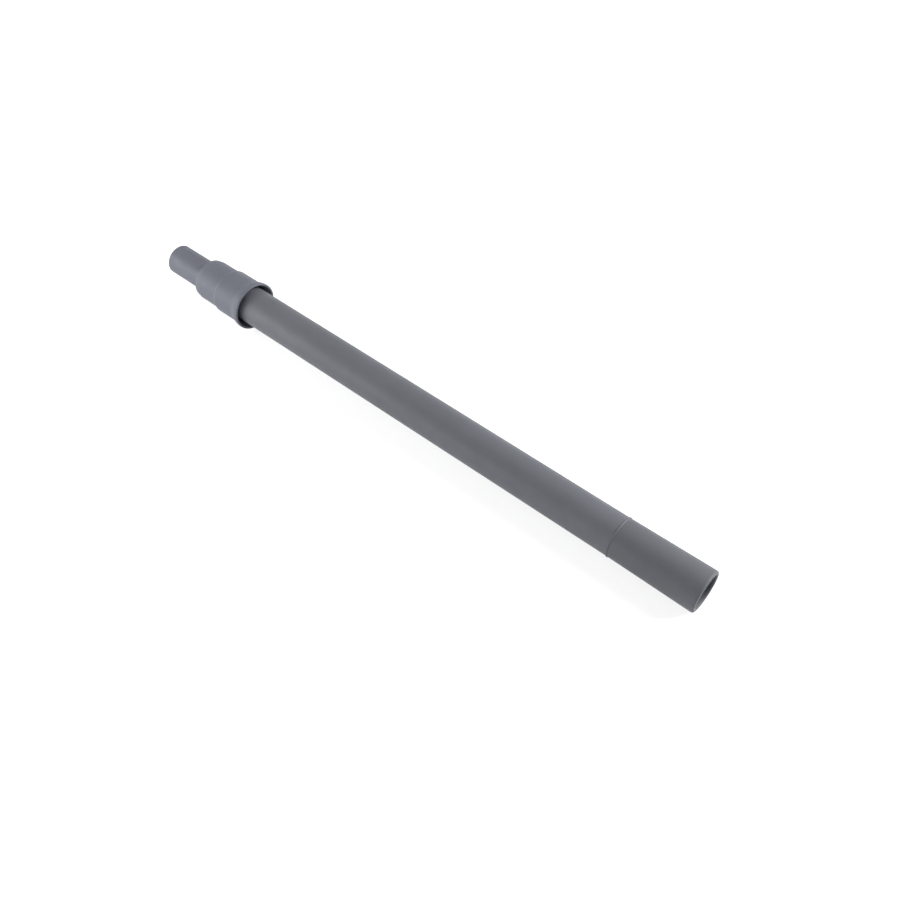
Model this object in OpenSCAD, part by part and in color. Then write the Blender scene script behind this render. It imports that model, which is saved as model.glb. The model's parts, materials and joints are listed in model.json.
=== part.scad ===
// Telescopic vacuum extension wand with a twist collar, drawn in and lying on its collar rim and cuff.
// Its axis runs along X from the spigot's tip to the mouth, and dips towards the mouth as it rests.

/* [Spigot and inner tube] */
// Outside diameter of the spigot that tools push onto
spigot_od = 32; // [28:0.5:40]
// Length of the spigot in front of the collar
spigot_shown = 51; // [35:1:80]
// Plain end of the spigot next to the collar that tools don't reach
spigot_land = 0.5; // [0.3:0.1:2]
// Wall of the spigot
spigot_wall = 2; // [1.6:0.1:2.6]
// How much slimmer the sliding length is than the spigot, on the diameter
slide_relief = 0.5; // [0.4:0.1:0.8]
// Radius of the rounded edge at the spigot's tip
tip_round = 0.7; // [0.4:0.1:1]

/* [Main tube] */
// Gap between the spigot's outside and the main tube's bore
tube_gap = 1.2; // [1:0.1:2.4]
// Wall of the main tube
tube_wall = 1.8; // [1.4:0.1:3]
// Length of the main tube between the collar and the cuff
tube_shown = 450; // [300:10:700]
// How far behind the collar's step the main tube begins
tube_setback = 2; // [1:0.5:4]

/* [Twist collar] */
// Wall of the front tier, where the snap groove is cut into it
front_tier_wall = 1.5; // [1.2:0.1:2.5]
// Length of the front tier
front_tier_length = 31; // [28:0.5:36]
// Length of the slight cone at the front tier's nose
nose_length = 6; // [3:0.5:10]
// How far the nose cone drops below the front tier
nose_drop = 0.9; // [0.4:0.1:1.2]
// Radius of the nose's front edge
nose_round = 0.6; // [0.3:0.1:1]
// Length of the ramp between the two tiers
ramp_length = 3; // [1:0.5:5]
// Wall of the back tier, round its thread
back_tier_wall = 2; // [1.6:0.1:3]
// Length of the back tier up to its flare
back_tier_length = 24; // [22:0.5:30]
// Length over which the skirt flares
flare_length = 10; // [6:0.5:14]
// How far the skirt flares out
flare_rise = 2; // [0.8:0.1:3]
// Length of the straight band at the rim
rim_length = 2.5; // [2:0.5:5]
// Radius of the rim's outer edge
rim_round = 0.7; // [0.3:0.1:1]
// Wall of the skirt at its rim
skirt_wall = 2.2; // [1.6:0.1:2.6]

/* [Clamp inside the collar] */
// Thickness of the collar's front wall
collar_front_wall = 2.7; // [2:0.1:4]
// Wall of the clamp ring's body
collet_wall = 3.45; // [3:0.05:4]
// How far the clamp ring's cone drops towards its nose
collet_cone_drop = 1.9; // [1:0.1:2.2]
// Length of the clamp ring's cone
collet_cone_length = 14; // [10:0.5:15]
// Length of the clamp ring's snap flange
collet_flange_length = 2.5; // [2:0.1:3]
// Height of the clamp ring's snap flange
collet_flange_height = 0.9; // [0.5:0.1:1]
// Length of the clamp ring's plain tail behind its flange
collet_tail_length = 2.9; // [2.5:0.1:4]
// Slots cut into each end of the clamp ring
collet_slots = 6; // [4:1:8]
// Width of a slot
slot_width = 1.4; // [1:0.1:2]
// Length of clamp ring left uncut beyond the end of a slot
slot_web = 5; // [4:0.5:7]
// Length of the rubber seal behind the clamp ring
seal_length = 3; // [2.5:0.1:3.5]
// Wall of the bush round the seal
seal_pocket_wall = 1.7; // [1.2:0.1:2]

/* [Threaded bush] */
// Wall of the bush round the main tube, at the root of its thread
bush_wall = 1.4; // [1.2:0.1:2]
// Length of the bush's grip on the main tube
bush_grip = 22; // [16:0.5:24]
// Thickness of the bush's lip in front of the main tube
bush_lip = 3; // [2.5:0.1:3.5]
// Height of the thread, on the bush and in the collar alike
thread_height = 0.9; // [0.6:0.1:1]
// Length of the plain land that centres the collar, at the bush's rear
bush_land = 3; // [2:0.5:5]

/* [Guide on the hidden end] */
// Length of the split guide sleeve
guide_length = 48; // [36:1:70]
// Length of each of the guide's two sliding lands
guide_land = 8; // [5:0.5:11]
// Height of the sliding lands
land_height = 0.4; // [0.2:0.05:0.5]
// Width of the felt band
felt_width = 10; // [6:0.5:12]
// Depth of the groove that the felt band lies in
felt_groove = 0.25; // [0.1:0.05:0.3]
// Width of the guide's slit
guide_slit = 2; // [1:0.5:4]
// Thickness of the guide's end wall behind the inner tube
guide_end_wall = 1.5; // [1:0.1:2]
// Width of the snap rib inside the guide
snap_width = 1.8; // [1:0.1:3]
// Height of the snap rib
snap_height = 0.5; // [0.3:0.05:0.6]
// Distance from the snap rib to the guide's end wall
snap_inset = 10; // [6:0.5:14]

/* [Cuff] */
// Length of the cuff from the seam to the mouth
cuff_length = 84.5; // [70:0.5:110]
// How far the cuff widens from the seam to its mouth, at the radius
cuff_flare = 0.9; // [0:0.1:2]
// Radius of the mouth's outer edge
mouth_round = 2; // [1:0.1:2.4]
// Height of the bead at the seam
bead_height = 0.6; // [0.3:0.1:1]
// Length of the bead
bead_length = 2.4; // [1.6:0.2:4]
// Gap between the socket and a spigot pushed into it
socket_gap = 0.1; // [0.05:0.01:0.3]
// Depth of the socket
socket_depth = 45; // [35:1:55]
// Size of the lead-in chamfer at the mouth
mouth_chamfer = 0.9; // [0.5:0.1:1.2]
// Length of the cuff's sleeve inside the main tube
sleeve_length = 30; // [20:1:45]
// Wall of the sleeve
sleeve_wall = 2; // [1.6:0.1:2.4]

/* [Clearances] */
// Gap round a part that slides or turns freely
free_gap = 0.3; // [0.2:0.05:0.4]
// Gap round a part that slides closely
close_gap = 0.1; // [0.05:0.01:0.15]
// Gap between the guide sleeve and the inner tube that turns in it
turning_gap = 0.05; // [0.03:0.01:0.08]

/* [Hidden] */
$fn = 96;

// Colours of the wand's materials
tube_grey = [0.47, 0.48, 0.51];
collar_grey = [0.52, 0.53, 0.56];
nylon_white = [0.86, 0.85, 0.80];
rubber_black = [0.10, 0.10, 0.11];
felt_grey = [0.66, 0.65, 0.62];

// Steps in a quarter round and in a smooth flare
round_steps = 6;
flare_steps = 10;
// Overlap of a cut past the surface it leaves through
over = 1;
// Small chamfer on moulded edges
edge = 0.4;

// Radii of the tubes
spigot_r = spigot_od / 2;
slide_r = spigot_r - slide_relief / 2;
airway_r = spigot_r - spigot_wall;
bore_r = spigot_r + tube_gap;
tube_r = bore_r + tube_wall;
// Radii of the clamp ring, and of the front tier round it
collet_bore_r = slide_r + close_gap;
collet_r = collet_bore_r + collet_wall;
collet_nose_r = collet_r - collet_cone_drop;
collet_flange_r = collet_r + collet_flange_height;
collar_bore_r = spigot_r + free_gap;
front_tier_r = collet_flange_r + free_gap + front_tier_wall;
// Radii of the bush, and of the back tier and skirt round it
bush_root_r = tube_r + bush_wall;
bush_crest_r = bush_root_r + thread_height;
seal_r = bush_root_r - seal_pocket_wall;
thread_bore_r = bush_crest_r + free_gap;
back_tier_r = thread_bore_r + back_tier_wall;
rim_r = back_tier_r + flare_rise;
skirt_r = rim_r - skirt_wall;
// Radii of the guide
guide_bore_r = slide_r + turning_gap;
land_r = bore_r - close_gap;
guide_r = land_r - land_height;
felt_floor_r = guide_r - felt_groove;
snap_r = guide_bore_r - snap_height;
// Radii of the cuff
mouth_r = tube_r + cuff_flare;
socket_r = spigot_r + socket_gap;
neck_r = bore_r - sleeve_wall;

// Places along the axis, from the spigot's tip
collar_x = spigot_shown;
step_x = collar_x + front_tier_length;
flare_x = step_x + ramp_length + back_tier_length;
band_x = flare_x + flare_length;
rim_x = band_x + rim_length;
tube_x = step_x + tube_setback;
seam_x = rim_x + tube_shown;
mouth_x = seam_x + cuff_length;
sleeve_x = seam_x - sleeve_length;
stop_x = mouth_x - socket_depth;
lip_x = tube_x - bush_lip;
bush_x = lip_x - seal_length;
bush_end_x = tube_x + bush_grip;
collet_x = collar_x + collar_front_wall + free_gap;
collet_end_x = bush_x - close_gap;
flange_end_x = collet_end_x - collet_tail_length;
flange_x = flange_end_x - collet_flange_length;
cone_end_x = min(collet_x + collet_cone_length, flange_x - over);
chamber_end_x = (collet_end_x + flange_end_x) / 2;
guide_end_x = sleeve_x - free_gap;
guide_x = guide_end_x - guide_length;
inner_end_x = guide_end_x - guide_end_wall - free_gap;
snap_end_x = guide_end_x - guide_end_wall - snap_inset;
snap_x = snap_end_x - snap_width;
felt_x = guide_x + guide_length / 2 - felt_width / 2;

// How the wand rests: on the last of the rim's band and on the cuff just before its rounded mouth
rim_rest_x = rim_x - rim_round;
mouth_rest_x = mouth_x - mouth_round;
rest_angle = atan((rim_r - mouth_r) / (mouth_rest_x - rim_rest_x));
rest_height = rim_rest_x * sin(rest_angle) + rim_r * cos(rest_angle);
half_reach = (mouth_x * cos(rest_angle)
    + (mouth_r - mouth_round - spigot_r + tip_round) * sin(rest_angle)) / 2;

// Points of an arc round [x, r], from one angle to another
function arc(x, r, size, from, to) = [
    for (i = [0 : round_steps])
        let (a = from + (to - from) * i / round_steps)
        [x + size * cos(a), r + size * sin(a)]
];

// Points of a smooth change of radius along the axis
function blend(x0, r0, x1, r1) = [
    for (i = [0 : flare_steps])
        let (t = i / flare_steps)
        [x0 + (x1 - x0) * t, r0 + (r1 - r0) * t * t * (3 - 2 * t)]
];

// Points of the low bead that stands out of a wall
function bead(x, r, length, height) = [
    for (i = [0 : 2 * round_steps])
        let (a = 180 * i / (2 * round_steps))
        [x + length / 2 * (1 - cos(a)), r + height * sin(a)]
];

// A solid turned round the wand's axis from its outline in [place, radius] points
module turned(outline) {
    rotate([0, 90, 0])
        rotate_extrude()
            polygon([for (p = outline) [p[1], p[0]]]);
}

// Lays the wand on the ground, its reach centred on the origin
module resting() {
    translate([-half_reach, 0, rest_height])
        rotate([0, rest_angle, 0])
            children();
}

// Slots cut through the wall from the axis outwards, spaced evenly round it
module slots(count, first_angle, from_x, to_x) {
    for (i = [0 : count - 1])
        rotate([first_angle + 360 * i / count, 0, 0])
            translate([from_x, -slot_width / 2, 0])
                cube([to_x - from_x, slot_width, collet_flange_r + over]);
}

module outer_tube() {
    color(tube_grey)
        resting()
            turned([
                [tube_x, bore_r], [tube_x, tube_r], [seam_x, tube_r], [seam_x, bore_r]
            ]);
}

// The cuff plugs into the main tube with its sleeve, and its socket stops a tool at a bevelled ledge
module end_cuff() {
    outside = concat(
        [[sleeve_x, bore_r - edge], [sleeve_x + edge, bore_r], [seam_x, bore_r]],
        bead(seam_x, tube_r, bead_length, bead_height),
        arc(mouth_x - mouth_round, mouth_r - mouth_round, mouth_round, 90, 0)
    );
    inside = [
        [mouth_x, socket_r + mouth_chamfer],
        [mouth_x - mouth_chamfer, socket_r],
        [stop_x, socket_r],
        [stop_x - (socket_r - neck_r), neck_r],
        [sleeve_x, neck_r]
    ];
    color(tube_grey)
        resting()
            turned(concat(outside, inside));
}

// The bush holds the main tube's end, the seal in its front pocket, and the thread for the collar
module gland_bush() {
    outside = [
        [bush_x, bush_root_r - edge],
        [bush_x + edge, bush_root_r],
        [bush_end_x - bush_land - thread_height, bush_root_r],
        [bush_end_x - bush_land, bush_crest_r],
        [bush_end_x - edge, bush_crest_r],
        [bush_end_x, bush_crest_r - edge]
    ];
    inside = [
        [bush_end_x, tube_r],
        [tube_x, tube_r],
        [tube_x, collar_bore_r],
        [lip_x, collar_bore_r],
        [lip_x, seal_r],
        [bush_x, seal_r]
    ];
    color(nylon_white)
        resting()
            turned(concat(outside, inside));
}

module gland_seal() {
    color(rubber_black)
        resting()
            turned([
                [bush_x, seal_r],
                [lip_x, seal_r],
                [lip_x, collet_bore_r + 2 * edge],
                [lip_x - edge, collet_bore_r + edge / 2],
                [(bush_x + lip_x) / 2, collet_bore_r],
                [bush_x + edge, collet_bore_r + edge / 2],
                [bush_x, collet_bore_r + 2 * edge]
            ]);
}

// The collar: stepped tiers and a flared skirt outside; cone, snap groove and thread bore inside
module lock_collar() {
    nose_r = front_tier_r - nose_drop;
    outside = concat(
        arc(collar_x + nose_round, nose_r - nose_round, nose_round, 180, 90),
        [
            [collar_x + nose_length, front_tier_r],
            [step_x, front_tier_r],
            [step_x + ramp_length, back_tier_r]
        ],
        blend(flare_x, back_tier_r, band_x, rim_r),
        arc(rim_x - rim_round, rim_r - rim_round, rim_round, 90, 0)
    );
    inside = concat(
        [[rim_x, skirt_r + edge], [rim_x - edge, skirt_r]],
        blend(band_x, skirt_r, flare_x, thread_bore_r),
        [
            [bush_x - close_gap, thread_bore_r],
            [chamber_end_x, collet_r + free_gap],
            [flange_end_x + free_gap, collet_r + free_gap],
            [flange_end_x + free_gap, collet_flange_r + free_gap],
            [flange_x - free_gap, collet_flange_r + free_gap],
            [flange_x - free_gap, collet_r + free_gap],
            [cone_end_x, collet_r + free_gap],
            [collet_x - free_gap, collet_nose_r + free_gap],
            [collet_x - free_gap, collar_bore_r],
            [collar_x + edge, collar_bore_r],
            [collar_x, collar_bore_r + edge]
        ]
    );
    color(collar_grey)
        resting()
            turned(concat(outside, inside));
}

// The clamp ring: its slots run in from both ends by turns, so that it closes evenly as it is squeezed
module collet() {
    outline = [
        [collet_x, collet_bore_r],
        [collet_x, collet_nose_r],
        [cone_end_x, collet_r],
        [flange_x, collet_r],
        [flange_x, collet_flange_r],
        [flange_end_x, collet_flange_r],
        [flange_end_x, collet_r],
        [collet_end_x, collet_r],
        [collet_end_x, collet_bore_r]
    ];
    color(nylon_white)
        resting()
            difference() {
                turned(outline);
                slots(collet_slots, 0, collet_x - over, collet_end_x - slot_web);
                slots(collet_slots, 180 / collet_slots, collet_x + slot_web, collet_end_x + over);
            }
}

// The inner tube: the spigot in front, a slimmer sliding length, and a groove for the guide's snap rib
module inner_tube() {
    groove_r = snap_r - close_gap;
    outline = concat(
        arc(tip_round, spigot_r - tip_round, tip_round, 180, 90),
        [
            [collar_x - spigot_land, spigot_r],
            [collar_x - spigot_land + slide_relief / 2, slide_r],
            [snap_x - free_gap, slide_r],
            [snap_x - free_gap, groove_r],
            [snap_end_x + free_gap, groove_r],
            [snap_end_x + free_gap, slide_r],
            [inner_end_x, slide_r],
            [inner_end_x, airway_r],
            [tip_round, airway_r],
            [0, airway_r + tip_round / 2]
        ]
    );
    color(tube_grey)
        resting()
            turned(outline);
}

// The split sleeve on the inner tube's end: two sliding lands, a bed for the felt, and a snap rib inside
module rear_guide() {
    outside = [
        [guide_x, guide_r],
        [guide_x + edge, land_r],
        [guide_x + guide_land, land_r],
        [guide_x + guide_land, guide_r],
        [felt_x, guide_r],
        [felt_x, felt_floor_r],
        [felt_x + felt_width, felt_floor_r],
        [felt_x + felt_width, guide_r],
        [guide_end_x - guide_land, guide_r],
        [guide_end_x - guide_land, land_r],
        [guide_end_x - edge, land_r],
        [guide_end_x, guide_r]
    ];
    inside = [
        [guide_end_x, airway_r],
        [guide_end_x - guide_end_wall, airway_r],
        [guide_end_x - guide_end_wall, guide_bore_r],
        [snap_end_x, guide_bore_r],
        [snap_end_x, snap_r],
        [snap_x, snap_r],
        [snap_x, guide_bore_r],
        [guide_x, guide_bore_r]
    ];
    color(nylon_white)
        resting()
            difference() {
                turned(concat(outside, inside));
                translate([guide_x - over, -guide_slit / 2, 0])
                    cube([guide_length + 2 * over, guide_slit, tube_r]);
            }
}

module guide_seal() {
    color(felt_grey)
        resting()
            turned([
                [felt_x, felt_floor_r],
                [felt_x, land_r - edge / 2],
                [felt_x + edge, land_r],
                [felt_x + felt_width - edge, land_r],
                [felt_x + felt_width, land_r - edge / 2],
                [felt_x + felt_width, felt_floor_r]
            ]);
}

outer_tube();
end_cuff();
gland_bush();
gland_seal();
lock_collar();
collet();
inner_tube();
rear_guide();
guide_seal();
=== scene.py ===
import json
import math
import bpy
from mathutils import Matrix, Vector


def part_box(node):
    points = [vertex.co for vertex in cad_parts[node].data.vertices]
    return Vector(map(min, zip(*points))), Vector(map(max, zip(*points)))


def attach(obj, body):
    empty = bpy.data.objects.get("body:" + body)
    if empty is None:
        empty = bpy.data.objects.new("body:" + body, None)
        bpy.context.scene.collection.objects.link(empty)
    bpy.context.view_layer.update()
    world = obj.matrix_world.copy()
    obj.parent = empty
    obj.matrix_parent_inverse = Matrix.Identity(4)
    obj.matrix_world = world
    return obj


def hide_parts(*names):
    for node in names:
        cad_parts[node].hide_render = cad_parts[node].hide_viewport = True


bl_info = {
    "name": "Vacuum extension wand",
    "version": (1, 0, 0),
    "blender": (4, 5, 0),
    "location": "3D View > Sidebar > Wand",
    "description": "Dresses a telescopic vacuum wand: tubes, cuff, twist collar, threads, finishes and stage",
    "category": "Object",
}

import bpy
from bpy.props import FloatProperty, FloatVectorProperty, IntProperty, PointerProperty
from mathutils import Matrix, Vector

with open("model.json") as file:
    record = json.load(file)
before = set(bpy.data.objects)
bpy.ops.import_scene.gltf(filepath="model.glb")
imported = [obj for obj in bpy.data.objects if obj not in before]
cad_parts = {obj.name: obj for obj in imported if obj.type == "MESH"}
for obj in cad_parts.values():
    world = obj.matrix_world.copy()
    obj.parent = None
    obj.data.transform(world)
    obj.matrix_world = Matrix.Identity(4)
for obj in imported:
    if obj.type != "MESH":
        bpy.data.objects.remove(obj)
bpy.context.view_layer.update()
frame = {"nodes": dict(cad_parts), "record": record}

MM = 0.001

# Where the wand's axis runs: from its two fittings, which the packed record states
MOUNTS = {mount["name"]: mount for mount in frame["record"]["mounts"]}
SPIGOT_MOUNT = MOUNTS["spigot"]
SOCKET_MOUNT = MOUNTS["socket"]
AXIS = Vector(SOCKET_MOUNT["axis"]).normalized()
DIP = math.asin(-AXIS.z)

# Steps in a quarter round of an outline, and in the collar's flare
ROUND_STEPS = 6
FLARE_STEPS = 12
# Distance from a corner to the extra points that keep the shading crisp beside it
HOLD = 0.35 * MM
# How far a thread's ridge is sunk into the wall that carries it
SUNK = 0.2 * MM
# Part of a thread's length over which each end dies away, and the part of its section left there
RUN_OUT = 0.06
RUN_OUT_END = 0.05
# The most that a dressed piece's box may differ from its solid's
BOX_SLACK = 0.4 * MM

# The collar's cavity round the clamp ring: places along the axis and radii, in millimetres
COLLAR_CAVITY = [
    (77.9, 21.6),
    (76.45, 19.6),
    (75.3, 19.6),
    (75.3, 20.5),
    (72.2, 20.5),
    (72.2, 19.6),
    (68.0, 19.6),
    (53.7, 17.7),
    (53.7, 16.3),
]


def length(name, default, description):
    """A length in metres whose default is given in millimetres."""
    return FloatProperty(
        name=name, description=description, default=default * MM, min=0.0, unit="LENGTH", precision=5
    )


def colour(name, default, description):
    """A linear colour."""
    return FloatVectorProperty(
        name=name, description=description, default=default, size=3, subtype="COLOR", min=0.0, max=1.0
    )


class WandTubeSizes(bpy.types.PropertyGroup):
    """Sizes of the main tube and of the inner tube with its spigot"""

    tube_radius: length("Tube radius", 19.0, "Outside radius of the main tube")
    tube_bore: length("Tube bore", 17.2, "Radius of the main tube's bore")
    tube_start: length("Tube start", 84.0, "Place of the main tube's hidden end, from the spigot's tip")
    seam: length("Seam", 571.5, "Place of the seam between the tube and the cuff")
    cut_edge: length("Cut edge", 0.12, "Broken edge of the sawn tube")
    spigot_radius: length("Spigot radius", 16.0, "Outside radius of the spigot")
    airway_radius: length("Airway radius", 14.0, "Radius of the airway through the inner tube")
    tip_round: length("Tip rounding", 0.7, "Radius of the rounded edge at the spigot's tip")
    spigot_end: length("Spigot end", 50.5, "Place where the spigot steps down to the sliding length")
    slide_radius: length("Sliding radius", 15.75, "Outside radius of the sliding length")
    groove_radius: length("Groove radius", 15.2, "Radius of the groove for the guide's snap rib")
    groove_start: length("Groove start", 527.6, "Place of the groove's front")
    groove_end: length("Groove end", 530.0, "Place of the groove's back")
    inner_end: length("Inner end", 539.4, "Place of the inner tube's hidden end")


class WandCollarSizes(bpy.types.PropertyGroup):
    """Sizes of the twist collar"""

    nose: length("Nose", 51.0, "Place of the collar's front face")
    nose_radius: length("Nose radius", 21.1, "Radius at the nose's front edge")
    nose_round: length("Nose rounding", 0.6, "Radius of the nose's rounded edge")
    nose_length: length("Nose length", 6.0, "Length of the nose's slight cone")
    front_radius: length("Front tier radius", 22.0, "Radius of the front tier")
    step: length("Step", 82.0, "Place of the step between the tiers")
    ramp: length("Ramp", 3.0, "Length of the ramp between the tiers")
    back_radius: length("Back tier radius", 23.6, "Radius of the back tier")
    flare_start: length("Flare start", 109.0, "Place where the skirt starts to flare")
    flare_end: length("Flare end", 119.0, "Place where the flare ends in a straight band")
    rim: length("Rim", 121.5, "Place of the rim's end face")
    rim_radius: length("Rim radius", 25.6, "Outside radius of the rim")
    rim_round: length("Rim rounding", 0.7, "Radius of the rim's outer edge")
    skirt_radius: length("Skirt radius", 23.4, "Inside radius of the skirt at its rim")
    thread_bore: length("Thread bore", 21.6, "Radius of the bore that carries the thread")
    front_bore: length("Front bore", 16.3, "Radius of the hole in the front wall")
    edge: length("Moulded edge", 0.4, "Size of the small moulded edges")


class WandCuffSizes(bpy.types.PropertyGroup):
    """Sizes of the socket cuff"""

    mouth: length("Mouth", 656.0, "Place of the mouth's end face")
    mouth_radius: length("Mouth radius", 19.9, "Outside radius at the mouth")
    mouth_round: length("Mouth rounding", 2.0, "Radius of the mouth's outer edge")
    bead_height: length("Bead height", 0.6, "Height of the bead beside the seam")
    bead_length: length("Bead length", 2.4, "Length of the bead")
    socket_radius: length("Socket radius", 16.1, "Radius of the socket")
    socket_stop: length("Socket stop", 611.0, "Place of the ledge that stops a tool")
    lead_in: length("Lead-in", 0.9, "Size of the chamfer at the mouth")
    neck_radius: length("Neck radius", 15.2, "Radius of the neck behind the socket")
    sleeve_start: length("Sleeve start", 541.5, "Place of the sleeve's hidden end")


class WandThreadSizes(bpy.types.PropertyGroup):
    """Sizes of the threaded bush and of both threads"""

    bush_start: length("Bush start", 78.0, "Place of the bush's front face")
    bush_end: length("Bush end", 106.0, "Place of the bush's rear face")
    root_radius: length("Root radius", 20.4, "Radius of the bush at the thread's root")
    land_radius: length("Land radius", 21.3, "Radius of the bush's rear land")
    land_length: length("Land length", 3.0, "Length of the rear land")
    seal_radius: length("Seal pocket radius", 18.7, "Radius of the pocket for the seal")
    lip_start: length("Lip start", 81.0, "Place of the lip in front of the main tube")
    lip_radius: length("Lip radius", 16.3, "Radius of the hole in the lip")
    pitch: length("Pitch", 3.0, "Distance that the collar travels in one turn")
    ridge_height: length("Ridge height", 0.8, "Height of the ridges")
    ridge_foot: length("Ridge foot", 1.3, "Width of a ridge at its foot")
    ridge_crest: length("Ridge crest", 0.5, "Width of a ridge at its crest")
    turns: FloatProperty(name="Turns", description="Turns of thread", default=6.0, min=1.0)
    steps: IntProperty(name="Steps", description="Steps in one turn", default=96, min=12)


class WandFinishes(bpy.types.PropertyGroup):
    """Colours of the wand's materials"""

    tube: colour("Tube", (0.178, 0.186, 0.212), "Extruded main tube")
    cuff: colour("Cuff", (0.162, 0.168, 0.190), "Moulded cuff")
    collar: colour("Collar", (0.196, 0.208, 0.252), "Moulded twist collar")
    spigot: colour("Spigot", (0.184, 0.196, 0.235), "Inner tube and spigot")
    nylon: colour("Nylon", (0.72, 0.71, 0.66), "Natural nylon of the clamp ring and the rear guide")
    # Painted shade: the bush's nylon is set near black to stand for the shade deep in the skirt's gap, not for a dye
    bush: colour("Bush", (0.055, 0.057, 0.064), "Painted-shade nylon of the threaded bush, which the skirt's gap shows")
    rubber: colour("Rubber", (0.02, 0.02, 0.022), "Seal between the clamp ring and the bush")
    felt: colour("Felt", (0.42, 0.41, 0.38), "Felt band round the rear guide")


class WandStageSettings(bpy.types.PropertyGroup):
    """Camera, floor and lights"""

    sides: IntProperty(name="Sides", description="Facets round the wand", default=224, min=24)
    lens: FloatProperty(name="Lens", description="Focal length on a 36 mm sensor", default=37.208, unit="CAMERA")
    heading: FloatProperty(
        name="Heading", description="Turn of the camera about the upright", default=math.radians(40.30), subtype="ANGLE"
    )
    look_down: FloatProperty(
        name="Look down", description="Angle of the camera below level", default=math.radians(48.68), subtype="ANGLE"
    )
    tip_in_view: FloatVectorProperty(
        name="Tip in view",
        description="Where the spigot's tip is seen from the camera: right, up and ahead",
        default=(-0.2952, 0.2091, 1.0190),
        subtype="TRANSLATION",
    )
    floor_size: FloatProperty(name="Floor size", description="Width of the floor", default=14.0, unit="LENGTH")
    floor_paint: FloatProperty(name="Floor paint", description="Albedo of the floor", default=0.8, min=0.0, max=1.0)
    floor_glow: FloatProperty(
        name="Floor glow", description="White that the floor shows without lighting the wand", default=0.75, min=0.0
    )
    surround: FloatProperty(name="Surround", description="Light from the white surroundings", default=0.18, min=0.0)


def quarter(centre_x, centre_r, size, start, stop):
    """Points of a rounded edge, as places along the axis and radii."""
    turn = (math.radians(start + (stop - start) * step / ROUND_STEPS) for step in range(ROUND_STEPS + 1))
    return [(centre_x + size * math.cos(angle), centre_r + size * math.sin(angle)) for angle in turn]


def flare(from_x, from_r, to_x, to_r):
    """Points of a smooth change of radius."""
    shares = [step / FLARE_STEPS for step in range(FLARE_STEPS + 1)]
    return [(from_x + (to_x - from_x) * t, from_r + (to_r - from_r) * t * t * (3 - 2 * t)) for t in shares]


def bead(start_x, radius, span, height):
    """Points of the low bead beside the seam, which meets the cuff in a smooth curve."""
    steps = 2 * ROUND_STEPS
    shares = [step / steps for step in range(steps + 1)]
    return [(start_x + span * t, radius + height * math.sin(math.pi * t) ** 1.5) for t in shares]


def held(outline):
    """The closed outline with extra points beside each corner, so that long walls shade evenly."""
    points = []
    for index, here in enumerate(outline):
        there = outline[(index + 1) % len(outline)]
        start, stop = Vector(here), Vector(there)
        span = (stop - start).length
        if span < 1e-7:
            continue
        points.append(start)
        if span > 4 * HOLD:
            points.append(start.lerp(stop, HOLD / span))
            points.append(start.lerp(stop, 1 - HOLD / span))
    return points


def named_tree(name, inputs):
    """A Geometry Nodes tree with a geometry input and the named sizes, and its two end nodes."""
    tree = bpy.data.node_groups.new(name, "GeometryNodeTree")
    tree.interface.new_socket("Geometry", in_out="INPUT", socket_type="NodeSocketGeometry")
    for label, kind in inputs:
        tree.interface.new_socket(label, in_out="INPUT", socket_type=kind)
    tree.interface.new_socket("Geometry", in_out="OUTPUT", socket_type="NodeSocketGeometry")
    start = tree.nodes.new("NodeGroupInput")
    stop = tree.nodes.new("NodeGroupOutput")
    return tree, start, stop


def finish_tree(tree, geometry, start, stop):
    """Ends a tree in Realize Instances and Set Material."""
    real = tree.nodes.new("GeometryNodeRealizeInstances")
    paint = tree.nodes.new("GeometryNodeSetMaterial")
    tree.links.new(geometry, real.inputs["Geometry"])
    tree.links.new(real.outputs["Geometry"], paint.inputs["Geometry"])
    tree.links.new(start.outputs["Material"], paint.inputs["Material"])
    tree.links.new(paint.outputs["Geometry"], stop.inputs["Geometry"])


def turned_tree():
    """Sweeps the object's outline, drawn as place and radius, once round the wand's axis."""
    tree, start, stop = named_tree(
        "Turned on the axis",
        [
            ("Sides", "NodeSocketInt"),
            ("Mean radius", "NodeSocketFloat"),
            ("Tip", "NodeSocketVector"),
            ("Turn", "NodeSocketVector"),
            ("Material", "NodeSocketMaterial"),
        ],
    )
    new, link = tree.nodes.new, tree.links.new
    outline = new("GeometryNodeMeshToCurve")
    upright = new("GeometryNodeTransform")
    upright.inputs["Rotation"].default_value = (0.0, 0.0, -math.pi / 2)
    inward = new("ShaderNodeCombineXYZ")
    negative = new("ShaderNodeMath")
    negative.operation = "MULTIPLY"
    negative.inputs[1].default_value = -1.0
    centred = new("GeometryNodeTransform")
    ring = new("GeometryNodeCurvePrimitiveCircle")
    normal = new("GeometryNodeSetCurveNormal")
    normal.mode = "Z_UP"
    sweep = new("GeometryNodeCurveToMesh")
    smooth = new("GeometryNodeSetShadeSmooth")
    placed = new("GeometryNodeTransform")
    link(start.outputs["Geometry"], outline.inputs["Mesh"])
    link(outline.outputs["Curve"], upright.inputs["Geometry"])
    link(upright.outputs["Geometry"], centred.inputs["Geometry"])
    link(start.outputs["Mean radius"], negative.inputs[0])
    link(negative.outputs[0], inward.inputs["X"])
    link(inward.outputs["Vector"], centred.inputs["Translation"])
    link(start.outputs["Sides"], ring.inputs["Resolution"])
    link(start.outputs["Mean radius"], ring.inputs["Radius"])
    link(ring.outputs["Curve"], normal.inputs["Curve"])
    link(normal.outputs["Curve"], sweep.inputs["Curve"])
    link(centred.outputs["Geometry"], sweep.inputs["Profile Curve"])
    link(sweep.outputs["Mesh"], smooth.inputs["Geometry"])
    link(smooth.outputs["Geometry"], placed.inputs["Geometry"])
    link(start.outputs["Tip"], placed.inputs["Translation"])
    link(start.outputs["Turn"], placed.inputs["Rotation"])
    finish_tree(tree, placed.outputs["Geometry"], start, stop)
    return tree


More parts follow.
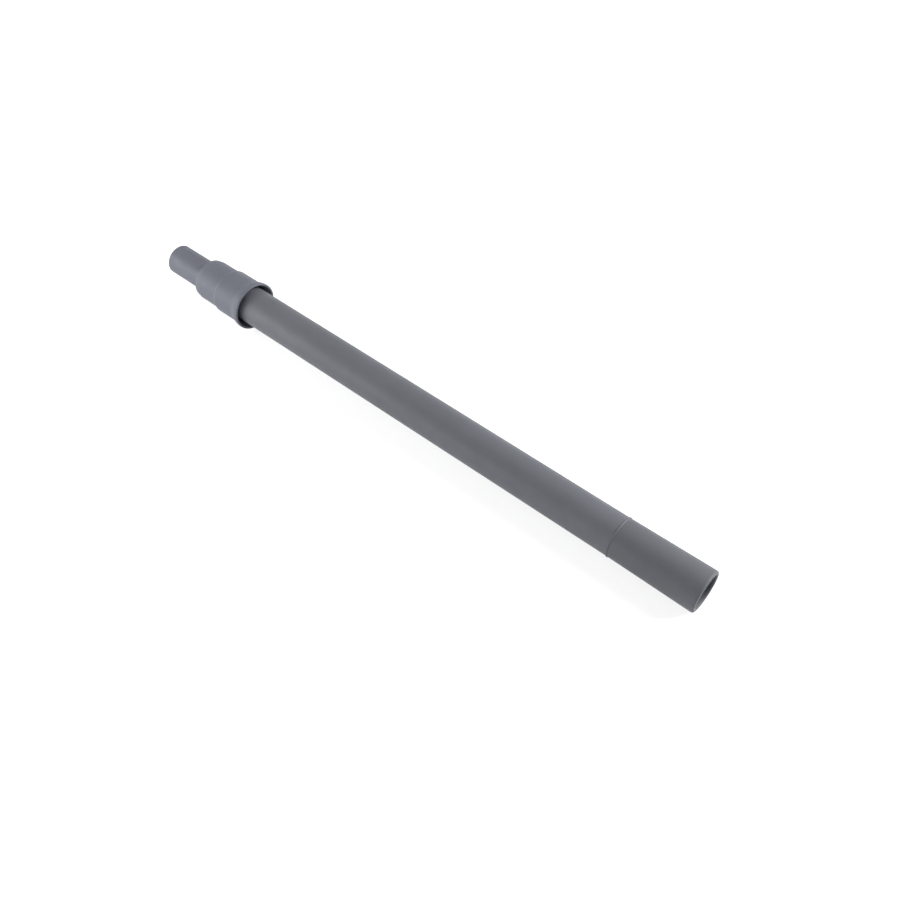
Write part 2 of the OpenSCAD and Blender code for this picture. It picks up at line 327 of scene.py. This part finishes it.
def thread_tree():
    """Adds a helical ridge to the object: a trapezium swept along a spiral, dying away at both ends."""
    tree, start, stop = named_tree(
        "Thread ridge",
        [
            ("Steps", "NodeSocketInt"),
            ("Turns", "NodeSocketFloat"),
            ("Pitch", "NodeSocketFloat"),
            ("Foot radius", "NodeSocketFloat"),
            ("Foot width", "NodeSocketFloat"),
            ("Crest width", "NodeSocketFloat"),
            ("Height", "NodeSocketFloat"),
            ("Sunk", "NodeSocketFloat"),
            ("Facing", "NodeSocketFloat"),
            ("Start", "NodeSocketFloat"),
            ("Phase", "NodeSocketFloat"),
            ("Tip", "NodeSocketVector"),
            ("Turn", "NodeSocketVector"),
            ("Material", "NodeSocketMaterial"),
        ],
    )
    new, link = tree.nodes.new, tree.links.new

    def worked(operation, first, second):
        node = new("ShaderNodeMath")
        node.operation = operation
        for socket, value in zip(node.inputs, (first, second)):
            if isinstance(value, (int, float)):
                socket.default_value = value
            else:
                link(value, socket)
        return node.outputs[0]

    size = start.outputs
    reach = worked("MULTIPLY", size["Turns"], size["Pitch"])
    spiral = new("GeometryNodeCurveSpiral")
    spiral.inputs["Reverse"].default_value = True
    link(size["Steps"], spiral.inputs["Resolution"])
    link(size["Turns"], spiral.inputs["Rotations"])
    link(size["Foot radius"], spiral.inputs["Start Radius"])
    link(size["Foot radius"], spiral.inputs["End Radius"])
    link(reach, spiral.inputs["Height"])
    normal = new("GeometryNodeSetCurveNormal")
    normal.mode = "Z_UP"
    link(spiral.outputs["Curve"], normal.inputs["Curve"])

    section = new("GeometryNodeCurvePrimitiveQuadrilateral")
    section.mode = "TRAPEZOID"
    section.inputs["Offset"].default_value = 0.0
    full = worked("ADD", size["Height"], size["Sunk"])
    link(full, section.inputs["Height"])
    link(size["Foot width"], section.inputs["Bottom Width"])
    link(size["Crest width"], section.inputs["Top Width"])
    lift = worked("SUBTRACT", worked("MULTIPLY", full, 0.5), size["Sunk"])
    lifted = new("GeometryNodeTransform")
    lift_by = new("ShaderNodeCombineXYZ")
    link(lift, lift_by.inputs["Y"])
    link(lift_by.outputs["Vector"], lifted.inputs["Translation"])
    link(section.outputs["Curve"], lifted.inputs["Geometry"])
    faced = new("GeometryNodeTransform")
    face_by = new("ShaderNodeCombineXYZ")
    link(worked("MULTIPLY", size["Facing"], -math.pi / 2), face_by.inputs["Z"])
    link(face_by.outputs["Vector"], faced.inputs["Rotation"])
    link(lifted.outputs["Geometry"], faced.inputs["Geometry"])

    along = new("GeometryNodeSplineParameter").outputs["Factor"]
    rising = worked("DIVIDE", along, RUN_OUT)
    falling = worked("DIVIDE", worked("SUBTRACT", 1.0, along), RUN_OUT)
    share = worked("MINIMUM", worked("MINIMUM", rising, falling), 1.0)
    share = worked("MAXIMUM", share, RUN_OUT_END)
    sweep = new("GeometryNodeCurveToMesh")
    sweep.inputs["Fill Caps"].default_value = True
    link(normal.outputs["Curve"], sweep.inputs["Curve"])
    link(faced.outputs["Geometry"], sweep.inputs["Profile Curve"])
    link(share, sweep.inputs["Scale"])

    set_off = new("GeometryNodeTransform")
    start_at = new("ShaderNodeCombineXYZ")
    turn_by = new("ShaderNodeCombineXYZ")
    link(size["Start"], start_at.inputs["Z"])
    link(size["Phase"], turn_by.inputs["Z"])
    link(start_at.outputs["Vector"], set_off.inputs["Translation"])
    link(turn_by.outputs["Vector"], set_off.inputs["Rotation"])
    link(sweep.outputs["Mesh"], set_off.inputs["Geometry"])
    placed = new("GeometryNodeTransform")
    link(set_off.outputs["Geometry"], placed.inputs["Geometry"])
    link(size["Tip"], placed.inputs["Translation"])
    link(size["Turn"], placed.inputs["Rotation"])
    both = new("GeometryNodeJoinGeometry")
    link(size["Geometry"], both.inputs["Geometry"])
    link(placed.outputs["Geometry"], both.inputs["Geometry"])
    finish_tree(tree, both.outputs["Geometry"], start, stop)
    return tree


def tree_named(name, maker):
    """The tree of that name, made the first time it is asked for."""
    return bpy.data.node_groups.get(name) or maker()


def add_tree(piece, tree, values):
    """Puts a tree on a piece and sets its inputs by their sockets' identifiers."""
    modifier = piece.modifiers.new(tree.name, "NODES")
    modifier.node_group = tree
    sockets = {
        item.name: item.identifier
        for item in tree.interface.items_tree
        if item.item_type == "SOCKET" and item.in_out == "INPUT"
    }
    for name, value in values.items():
        modifier[sockets[name]] = value


def wand_place():
    """The tip's place and the turn that lays a piece, made about Z, along the wand's axis."""
    tubes = bpy.context.scene.wand_tubes
    half_spigot = SPIGOT_MOUNT["dims"]["length_mm"] * MM / 2 + tubes.tip_round
    tip = Vector(SPIGOT_MOUNT["pos_m"]) - AXIS * half_spigot
    return {"Tip": tip, "Turn": (0.0, math.pi / 2 + DIP, 0.0)}


def baked(piece):
    """Turns the piece's modifiers into a plain mesh and removes them."""
    graph = bpy.context.evaluated_depsgraph_get()
    mesh = bpy.data.meshes.new_from_object(piece.evaluated_get(graph))
    mesh.name = piece.name
    piece.modifiers.clear()
    piece.data = mesh


def turned_piece(name, outline, material, threads=()):
    """A closed outline turned about the wand's axis, with its threads, as one plain mesh.

    Outlines are written from the tip along the outside and back along the bore. They are swept the
    other way round, so that the faces point outwards.
    """
    points = held(outline)[::-1]
    count = len(points)
    mesh = bpy.data.meshes.new(name)
    edges = [(index, (index + 1) % count) for index in range(count)]
    mesh.from_pydata([(point.x, point.y, 0.0) for point in points], edges, [])
    piece = bpy.data.objects.new(name, mesh)
    bpy.context.scene.collection.objects.link(piece)
    place = wand_place()
    values = {
        "Sides": bpy.context.scene.wand_stage.sides,
        "Mean radius": sum(point.y for point in points) / count,
        "Material": material,
    }
    add_tree(piece, tree_named("Turned on the axis", turned_tree), {**values, **place})
    for thread in threads:
        add_tree(piece, tree_named("Thread ridge", thread_tree), {**thread, **place, "Material": material})
    baked(piece)
    return piece


def seat(piece, node, body):
    """Lets a piece stand for its CAD node, after checking that it fills the node's own box."""
    corners = [piece.matrix_world @ Vector(corner) for corner in piece.bound_box]
    for axis in range(3):
        low = min(corner[axis] for corner in corners)
        high = max(corner[axis] for corner in corners)
        gap = max(abs(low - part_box(node)[0][axis]), abs(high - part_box(node)[1][axis]))
        if gap > BOX_SLACK:
            raise RuntimeError(f"{piece.name} departs from {node} by {gap / MM:.2f} mm")
    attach(piece, body)
    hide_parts(node)


class Shader:
    """A short way to write a material's nodes."""

    def __init__(self, name):
        self.material = bpy.data.materials.new(name)
        self.material.use_nodes = True
        self.tree = self.material.node_tree
        self.tree.nodes.clear()
        self.place = self.node("ShaderNodeTexCoord").outputs["Object"]

    def node(self, kind, inputs=None, **settings):
        made = self.tree.nodes.new(kind)
        for name, value in settings.items():
            setattr(made, name, value)
        for name, value in (inputs or {}).items():
            self.feed(made.inputs[name], value)
        return made

    def feed(self, socket, value):
        if isinstance(value, bpy.types.NodeSocket):
            self.tree.links.new(value, socket)
        else:
            socket.default_value = value

    def noise(self, scale, detail=3.0, roughness=0.5, stretch=None):
        """Noise whose scale is in cells for each metre, stretched along the axes if asked."""
        place = self.place
        if stretch:
            place = self.node("ShaderNodeMapping", {"Vector": place, "Scale": stretch}).outputs["Vector"]
        texture = self.node(
            "ShaderNodeTexNoise", {"Vector": place, "Scale": scale, "Detail": detail, "Roughness": roughness}
        )
        return texture.outputs["Fac"]

    def range(self, value, low, high, source=(0.3, 0.7)):
        """The value spread from low to high."""
        spread = self.node(
            "ShaderNodeMapRange",
            {"Value": value, "From Min": source[0], "From Max": source[1], "To Min": low, "To Max": high},
        )
        return spread.outputs["Result"]

    def maths(self, operation, first, second):
        return self.node("ShaderNodeMath", {0: first, 1: second}, operation=operation).outputs[0]

    def shade(self, base, amount):
        """The base colour made lighter or darker by the amount, which lies about 1."""
        mixed = self.node("ShaderNodeVectorMath", {0: (*base,), "Scale": amount}, operation="SCALE")
        return mixed.outputs["Vector"]

    def bump(self, height, distance, strength=1.0, normal=None):
        inputs = {"Height": height, "Distance": distance, "Strength": strength}
        if normal:
            inputs["Normal"] = normal
        return self.node("ShaderNodeBump", inputs).outputs["Normal"]

    def finish(self, inputs):
        surface = self.node("ShaderNodeBsdfPrincipled", inputs)
        output = self.node("ShaderNodeOutputMaterial")
        self.tree.links.new(surface.outputs["BSDF"], output.inputs["Surface"])
        return self.material


def material_named(name, maker):
    """The material of that name, made the first time it is asked for."""
    return bpy.data.materials.get(name) or maker(name)


def satin_plastic(name, base, grain, lines=0.0, gloss=(0.50, 0.62)):
    """Satin plastic: soft mottling, a fine grain, and faint lines along the wand where it was extruded."""
    shader = Shader(name)
    mottle = shader.noise(38.0, detail=4.0)
    fine = shader.noise(1500.0, detail=2.0)
    tone = shader.maths("ADD", shader.range(mottle, -0.035, 0.035), shader.range(fine, -0.03, 0.03))
    tone = shader.maths("ADD", tone, 1.0)
    roughness = shader.range(shader.noise(90.0, detail=4.0, roughness=0.6), gloss[0], gloss[1])
    normal = shader.bump(fine, grain)
    if lines:
        drawn = shader.noise(1.0, detail=3.0, stretch=(3.0, 900.0, 900.0))
        tone = shader.maths("ADD", tone, shader.range(drawn, -0.03, 0.03))
        normal = shader.bump(drawn, lines, normal=normal)
    return shader.finish(
        {
            "Base Color": shader.shade(base, tone),
            "Roughness": roughness,
            "IOR": 1.5,
            "Normal": normal,
        }
    )


def waxy_nylon(name, base):
    """Nylon: a little light passes into it, and its turned face is slightly uneven."""
    shader = Shader(name)
    cloud = shader.noise(60.0, detail=3.0)
    rings = shader.noise(1.0, detail=2.0, stretch=(2400.0, 60.0, 60.0))
    return shader.finish(
        {
            "Base Color": shader.shade(base, shader.range(cloud, 0.95, 1.03)),
            "Roughness": shader.range(shader.noise(200.0), 0.34, 0.46),
            "Subsurface Weight": 0.2,
            "Subsurface Radius": (0.002, 0.0018, 0.0012),
            "IOR": 1.53,
            "Normal": shader.bump(rings, 0.00002),
        }
    )


def soft_rubber(name):
    """Matt black rubber with a faint bloom and a moulded grain."""
    shader = Shader(name)
    bloom = shader.noise(120.0, detail=5.0, roughness=0.6)
    return shader.finish(
        {
            "Base Color": shader.shade(bpy.context.scene.wand_finishes.rubber, shader.range(bloom, 0.8, 1.7)),
            "Roughness": shader.range(bloom, 0.62, 0.82),
            "IOR": 1.52,
            "Normal": shader.bump(shader.noise(2600.0), 0.00003),
        }
    )


def pressed_felt(name):
    """Pressed wool felt: crossing fibres of slightly different greys."""
    shader = Shader(name)
    one_way = shader.noise(1.0, detail=4.0, stretch=(900.0, 3600.0, 2600.0))
    other_way = shader.noise(1.0, detail=4.0, stretch=(3600.0, 900.0, 1500.0))
    fibres = shader.maths("MULTIPLY", shader.maths("ADD", one_way, other_way), 0.5)
    return shader.finish(
        {
            "Base Color": shader.shade(bpy.context.scene.wand_finishes.felt, shader.range(fibres, 0.72, 1.22)),
            "Roughness": 0.95,
            "Sheen Weight": 0.4,
            "Sheen Roughness": 0.5,
            "Normal": shader.bump(fibres, 0.00012),
        }
    )


def natural_nylon(name):
    return waxy_nylon(name, bpy.context.scene.wand_finishes.nylon)


# Nylon made near black as painted shade, standing for the shade in the collar skirt's gap where the bush sits
def painted_shade_nylon(name):
    return waxy_nylon(name, bpy.context.scene.wand_finishes.bush)


def tube_plastic(name):
    return satin_plastic(name, bpy.context.scene.wand_finishes.tube, 0.000012, lines=0.00001)


def cuff_plastic(name):
    return satin_plastic(name, bpy.context.scene.wand_finishes.cuff, 0.000016, gloss=(0.54, 0.66))


def collar_plastic(name):
    return satin_plastic(name, bpy.context.scene.wand_finishes.collar, 0.000016)


def spigot_plastic(name):
    return satin_plastic(name, bpy.context.scene.wand_finishes.spigot, 0.000012, lines=0.000008)


class WAND_OT_main_tube(bpy.types.Operator):
    """Make the extruded main tube"""

    bl_idname = "wand.main_tube"
    bl_label = "Main tube"

    def execute(self, context):
        size = context.scene.wand_tubes
        edge = size.cut_edge
        outline = [
            (size.tube_start, size.tube_bore),
            (size.tube_start, size.tube_radius - edge),
            (size.tube_start + edge, size.tube_radius),
            (size.seam - edge, size.tube_radius),
            (size.seam, size.tube_radius - edge),
            (size.seam, size.tube_bore),
        ]
        piece = turned_piece("main_tube", outline, material_named("Extruded tube plastic", tube_plastic))
        seat(piece, "outer_tube", "wand")
        return {"FINISHED"}


class WAND_OT_socket_cuff(bpy.types.Operator):
    """Make the moulded cuff with its seam bead, rounded mouth and socket"""

    bl_idname = "wand.socket_cuff"
    bl_label = "Socket cuff"

    def execute(self, context):
        size = context.scene.wand_cuff
        tubes = context.scene.wand_tubes
        edge = context.scene.wand_collar.edge
        ledge = size.socket_radius - size.neck_radius
        outline = [
            (size.sleeve_start, tubes.tube_bore - edge),
            (size.sleeve_start + edge, tubes.tube_bore),
            (tubes.seam, tubes.tube_bore),
            *bead(tubes.seam, tubes.tube_radius, size.bead_length, size.bead_height),
            *quarter(size.mouth - size.mouth_round, size.mouth_radius - size.mouth_round, size.mouth_round, 90, 0),
            (size.mouth, size.socket_radius + size.lead_in),
            (size.mouth - size.lead_in, size.socket_radius),
            (size.socket_stop, size.socket_radius),
            (size.socket_stop - ledge, size.neck_radius),
            (size.sleeve_start, size.neck_radius),
        ]
        piece = turned_piece("socket_cuff", outline, material_named("Moulded cuff plastic", cuff_plastic))
        seat(piece, "end_cuff", "wand")
        return {"FINISHED"}


class WAND_OT_inner_tube(bpy.types.Operator):
    """Make the inner tube with its spigot, sliding length and groove"""

    bl_idname = "wand.inner_tube"
    bl_label = "Inner tube"

    def execute(self, context):
        size = context.scene.wand_tubes
        relief = size.spigot_radius - size.slide_radius
        outline = [
            *quarter(size.tip_round, size.spigot_radius - size.tip_round, size.tip_round, 180, 90),
            (size.spigot_end, size.spigot_radius),
            (size.spigot_end + relief, size.slide_radius),
            (size.groove_start, size.slide_radius),
            (size.groove_start, size.groove_radius),
            (size.groove_end, size.groove_radius),
            (size.groove_end, size.slide_radius),
            (size.inner_end, size.slide_radius),
            (size.inner_end, size.airway_radius),
            (size.tip_round, size.airway_radius),
            (0.0, size.airway_radius + size.tip_round / 2),
        ]
        piece = turned_piece("sliding_tube", outline, material_named("Sliding tube plastic", spigot_plastic))
        seat(piece, "inner_tube", "inner")
        return {"FINISHED"}


def thread_values(size, foot_radius, facing, start, phase):
    """Inputs of the thread's tree for one ridge."""
    return {
        "Steps": size.steps,
        "Turns": size.turns,
        "Pitch": size.pitch,
        "Foot radius": foot_radius,
        "Foot width": size.ridge_foot,
        "Crest width": size.ridge_crest,
        "Height": size.ridge_height,
        "Sunk": SUNK,
        "Facing": facing,
        "Start": start,
        "Phase": phase,
    }


class WAND_OT_twist_collar(bpy.types.Operator):
    """Make the two-tier twist collar with its flared skirt and inner thread"""

    bl_idname = "wand.twist_collar"
    bl_label = "Twist collar"

    def execute(self, context):
        size = context.scene.wand_collar
        thread = context.scene.wand_thread
        edge = size.edge
        nose_x, nose_r = size.nose + size.nose_round, size.nose_radius - size.nose_round
        cavity = [(place * MM, radius * MM) for place, radius in COLLAR_CAVITY]
        outline = [
            *quarter(nose_x, nose_r, size.nose_round, 180, 90),
            (size.nose + size.nose_length, size.front_radius),
            (size.step, size.front_radius),
            (size.step + size.ramp, size.back_radius),
            *flare(size.flare_start, size.back_radius, size.flare_end, size.rim_radius),
            *quarter(size.rim - size.rim_round, size.rim_radius - size.rim_round, size.rim_round, 90, 0),
            (size.rim, size.skirt_radius + edge),
            (size.rim - edge, size.skirt_radius),
            *flare(size.flare_end, size.skirt_radius, size.flare_start, size.thread_bore),
            *cavity,
            (size.nose + edge, size.front_bore),
            (size.nose, size.front_bore + edge),
        ]
        ridge = thread_values(thread, size.thread_bore, -1.0, thread.lip_start, math.pi)
        piece = turned_piece(
            "twist_collar", outline, material_named("Moulded collar plastic", collar_plastic), [ridge]
        )
        seat(piece, "lock_collar", "collar")
        return {"FINISHED"}


class WAND_OT_threaded_bush(bpy.types.Operator):
    """Make the threaded bush on the main tube's hidden end"""

    bl_idname = "wand.threaded_bush"
    bl_label = "Threaded bush"

    def execute(self, context):
        size = context.scene.wand_thread
        tubes = context.scene.wand_tubes
        edge = context.scene.wand_collar.edge
        land = size.bush_end - size.land_length
        rise = size.land_radius - size.root_radius
        outline = [
            (size.bush_start, size.root_radius - edge),
            (size.bush_start + edge, size.root_radius),
            (land - rise, size.root_radius),
            (land, size.land_radius),
            (size.bush_end - edge, size.land_radius),
            (size.bush_end, size.land_radius - edge),
            (size.bush_end, tubes.tube_radius),
            (tubes.tube_start, tubes.tube_radius),
            (tubes.tube_start, size.lip_radius),
            (size.lip_start, size.lip_radius),
            (size.lip_start, size.seal_radius),
            (size.bush_start, size.seal_radius),
        ]
        ridge = thread_values(size, size.root_radius, 1.0, size.lip_start, 0.0)
        # The bush takes the near-black painted-shade nylon, which stands for the shade in the skirt's gap
        piece = turned_piece("threaded_bush", outline, material_named("Painted-shade nylon", painted_shade_nylon), [ridge])
        seat(piece, "gland_bush", "wand")
        return {"FINISHED"}


class WAND_OT_hidden_pieces(bpy.types.Operator):
    """Give the clamp ring, seals and rear guide their finishes"""

    bl_idname = "wand.hidden_pieces"
    bl_label = "Clamp ring, seals and guide"

    def execute(self, context):
        finishes = {
            "collet": ("Natural nylon", natural_nylon),
            "rear_guide": ("Natural nylon", natural_nylon),
            "gland_seal": ("Seal rubber", soft_rubber),
            "guide_seal": ("Pressed felt", pressed_felt),
        }
        for node, (name, maker) in finishes.items():
            for slot in frame["nodes"][node].material_slots:
                slot.material = material_named(name, maker)
        return {"FINISHED"}


def add_camera(context):
    """A level camera that sees the wand as the photograph does."""
    view = context.scene.wand_stage
    right = Vector((math.cos(view.heading), math.sin(view.heading), 0.0))
    level = Vector((-math.sin(view.heading), math.cos(view.heading), 0.0))
    ahead = level * math.cos(view.look_down) - Vector((0.0, 0.0, math.sin(view.look_down)))
    up = right.cross(ahead)
    data = bpy.data.cameras.new("Camera")
    data.lens = view.lens
    data.sensor_width = 36.0
    data.clip_end = 40.0
    camera = bpy.data.objects.new("Camera", data)
    context.scene.collection.objects.link(camera)
    across, above, away = view.tip_in_view
    place = wand_place()["Tip"] - right * across - up * above - ahead * away
    camera.matrix_world = Matrix.Translation(place) @ Matrix((right, up, -ahead)).transposed().to_4x4()
    context.scene.camera = camera


def seen_directly(tree):
    """1 for what the camera sees, straight or in a reflection or through glass, and 0 for lighting."""
    new, link = tree.nodes.new, tree.links.new
    path = new("ShaderNodeLightPath")
    seen = path.outputs["Is Camera Ray"]
    for kind in ("Is Glossy Ray", "Is Transmission Ray"):
        either = new("ShaderNodeMath")
        either.operation = "MAXIMUM"
        link(seen, either.inputs[0])
        link(path.outputs[kind], either.inputs[1])
        seen = either.outputs[0]
    return seen


def glow_when_seen(tree, surface, strength):
    """Adds white to a surface shader where it is seen, and no light on the object."""
    new, link = tree.nodes.new, tree.links.new
    glow = new("ShaderNodeMath")
    glow.operation = "MULTIPLY"
    glow.inputs[1].default_value = strength
    link(seen_directly(tree), glow.inputs[0])
    emission = new("ShaderNodeEmission")
    link(glow.outputs[0], emission.inputs["Strength"])
    both = new("ShaderNodeAddShader")
    link(surface, both.inputs[0])
    link(emission.outputs["Emission"], both.inputs[1])
    return both.outputs["Shader"]


def add_floor(context):
    """A plain pale floor, white to the camera but for the wand's shadow."""
    stage = context.scene.wand_stage
    half = stage.floor_size / 2
    mesh = bpy.data.meshes.new("Floor")
    mesh.from_pydata([(-half, -half, 0), (half, -half, 0), (half, half, 0), (-half, half, 0)], [], [(0, 1, 2, 3)])
    floor = bpy.data.objects.new("Floor", mesh)
    context.scene.collection.objects.link(floor)
    material = bpy.data.materials.new("Pale floor")
    material.use_nodes = True
    tree = material.node_tree
    tree.nodes.clear()
    paint = tree.nodes.new("ShaderNodeBsdfDiffuse")
    paint.inputs["Color"].default_value = (stage.floor_paint,) * 3 + (1.0,)
    output = tree.nodes.new("ShaderNodeOutputMaterial")
    tree.links.new(glow_when_seen(tree, paint.outputs["BSDF"], stage.floor_glow), output.inputs["Surface"])
    mesh.materials.append(material)


def add_surround(context):
    """White surroundings: as bright as the far floor where they are seen, softer as light."""
    stage = context.scene.wand_stage
    world = bpy.data.worlds.new("White surround")
    context.scene.world = world
    world.use_nodes = True
    tree = world.node_tree
    tree.nodes.clear()
    new, link = tree.nodes.new, tree.links.new
    strength = new("ShaderNodeMix")
    strength.data_type = "FLOAT"
    link(seen_directly(tree), strength.inputs["Factor"])
    strength.inputs["A"].default_value = stage.surround
    strength.inputs["B"].default_value = stage.floor_paint * stage.surround + stage.floor_glow
    background = new("ShaderNodeBackground")
    background.inputs["Color"].default_value = (1.0, 1.0, 1.0, 1.0)
    link(strength.outputs["Result"], background.inputs["Strength"])
    output = new("ShaderNodeOutputWorld")
    link(background.outputs["Background"], output.inputs["Surface"])


# Soft lights: name, place, point aimed at, width and height in metres, power in watts
LIGHTS = [
    ("Back softbox", (1.2, 1.2, 1.1), (0.2, 0.0, 0.0), 1.2, 1.0, 35.0),
    ("Low front softbox", (-0.6, -1.2, 0.3), (-0.2, 0.0, 0.02), 1.8, 0.5, 4.8),
    ("Low spigot softbox", (-0.8, -0.5, 0.26), (-0.25, 0.0, 0.02), 0.6, 0.45, 3.0),
]


def add_lights(context):
    """Soft rectangular lamps aimed at the wand."""
    for name, place, aim, width, height, power in LIGHTS:
        data = bpy.data.lights.new(name, "AREA")
        data.shape = "RECTANGLE"
        data.size = width
        data.size_y = height
        data.energy = power
        lamp = bpy.data.objects.new(name, data)
        context.scene.collection.objects.link(lamp)
        away = (Vector(place) - Vector(aim)).to_track_quat("Z", "Y")
        lamp.matrix_world = Matrix.Translation(Vector(place)) @ away.to_matrix().to_4x4()


class WAND_OT_stage(bpy.types.Operator):
    """Set the camera, the floor, the surroundings and the lamps"""

    bl_idname = "wand.stage"
    bl_label = "Stage"

    def execute(self, context):
        add_camera(context)
        add_floor(context)
        add_surround(context)
        add_lights(context)
        context.scene.view_settings.view_transform = "Standard"
        return {"FINISHED"}


OPERATORS = (
    WAND_OT_stage,
    WAND_OT_main_tube,
    WAND_OT_socket_cuff,
    WAND_OT_inner_tube,
    WAND_OT_twist_collar,
    WAND_OT_threaded_bush,
    WAND_OT_hidden_pieces,
)

SETTINGS = {
    "wand_tubes": WandTubeSizes,
    "wand_collar": WandCollarSizes,
    "wand_cuff": WandCuffSizes,
    "wand_thread": WandThreadSizes,
    "wand_finishes": WandFinishes,
    "wand_stage": WandStageSettings,
}


class WAND_PT_panel(bpy.types.Panel):
    """Lists the wand's sizes, colours and pieces"""

    bl_idname = "WAND_PT_panel"
    bl_label = "Vacuum wand"
    bl_space_type = "VIEW_3D"
    bl_region_type = "UI"
    bl_category = "Wand"

    def draw(self, context):
        for operator in OPERATORS:
            self.layout.operator(operator.bl_idname)
        for name, group in SETTINGS.items():
            box = self.layout.box()
            box.label(text=group.__doc__)
            for setting in group.__annotations__:
                box.prop(getattr(context.scene, name), setting)


def register():
    for group in (*SETTINGS.values(), *OPERATORS, WAND_PT_panel):
        bpy.utils.register_class(group)
    for name, group in SETTINGS.items():
        setattr(bpy.types.Scene, name, PointerProperty(type=group))


def unregister():
    for name in SETTINGS:
        delattr(bpy.types.Scene, name)
    for group in reversed((*SETTINGS.values(), *OPERATORS, WAND_PT_panel)):
        bpy.utils.unregister_class(group)


def main():
    register()
    for operator in OPERATORS:
        group, name = operator.bl_idname.split(".")
        getattr(getattr(bpy.ops, group), name)()


if __name__ == "__main__":
    main()
